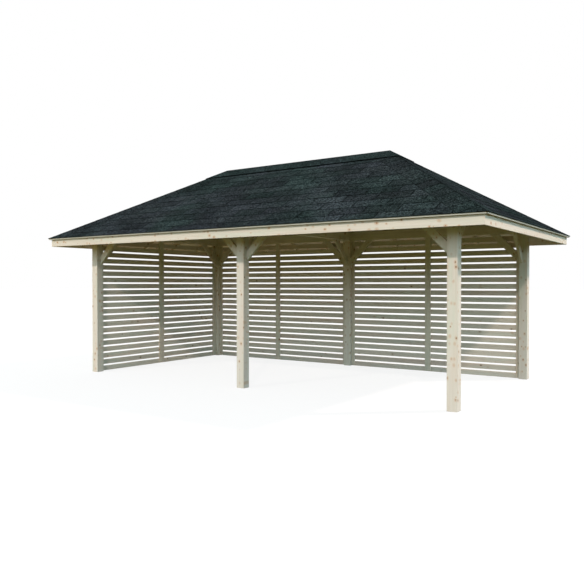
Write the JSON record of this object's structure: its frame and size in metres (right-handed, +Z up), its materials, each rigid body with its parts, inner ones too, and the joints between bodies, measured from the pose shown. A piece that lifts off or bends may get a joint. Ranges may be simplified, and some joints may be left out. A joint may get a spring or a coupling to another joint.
{
  "type": "garden gazebo",
  "caption": "Open timber garden gazebo with square posts, knee braces, a hipped shingle roof and horizontal slatted walls at the back and one end.",
  "frame": {"origin": "on the ground at the middle of the plan, below the middle of the ridge", "axes": "+X along the ridge, towards the open end; -Y towards the open front; +Z up"},
  "size_m": [7.228, 4.178, 3.4156],
  "materials": {
    "posts": "planed, untreated",
    "beams": "planed, untreated",
    "braces": "planed, untreated",
    "slats": "planed, untreated",
    "battens": "planed, untreated",
    "roof_frame": "sawn, untreated",
    "fascia": "planed, untreated",
    "roof_boards": "planed, untreated",
    "shingles": "bitumen with mineral granules",
    "ridge_cap": "bitumen with mineral granules"
  },
  "bodies": {
    "root": {"post_front_left": "posts", "post_front_middle": "posts", "post_front_right": "posts", "post_back_left": "posts", "post_back_middle": "posts", "post_back_right": "posts", "beam_front": "beams", "beam_back": "beams", "beam_left": "beams", "beam_right": "beams", "tie_beam": "beams", "braces_front_left": "braces", "braces_front_middle": "braces", "braces_front_right": "braces", "braces_back_left": "braces", "braces_back_middle": "braces", "braces_back_right": "braces", "slats_left": "slats", "slats_back_left": "slats", "slats_back_right": "slats", "battens_left": "battens", "battens_back_left": "battens", "battens_back_right": "battens", "ridge_beam": "roof_frame", "hip_rafter_front_left": "roof_frame", "hip_rafter_front_right": "roof_frame", "hip_rafter_back_left": "roof_frame", "hip_rafter_back_right": "roof_frame", "rafters_front": "roof_frame", "rafters_back": "roof_frame", "rafters_left": "roof_frame", "rafters_right": "roof_frame", "fascia_front": "fascia", "fascia_back": "fascia", "fascia_left": "fascia", "fascia_right": "fascia", "roof_boards_front": "roof_boards", "roof_boards_back": "roof_boards", "roof_boards_left": "roof_boards", "roof_boards_right": "roof_boards", "shingles_front": "shingles", "shingles_back": "shingles", "shingles_left": "shingles", "shingles_right": "shingles", "ridge_cap": "ridge_cap"}
  },
  "joints": []
}
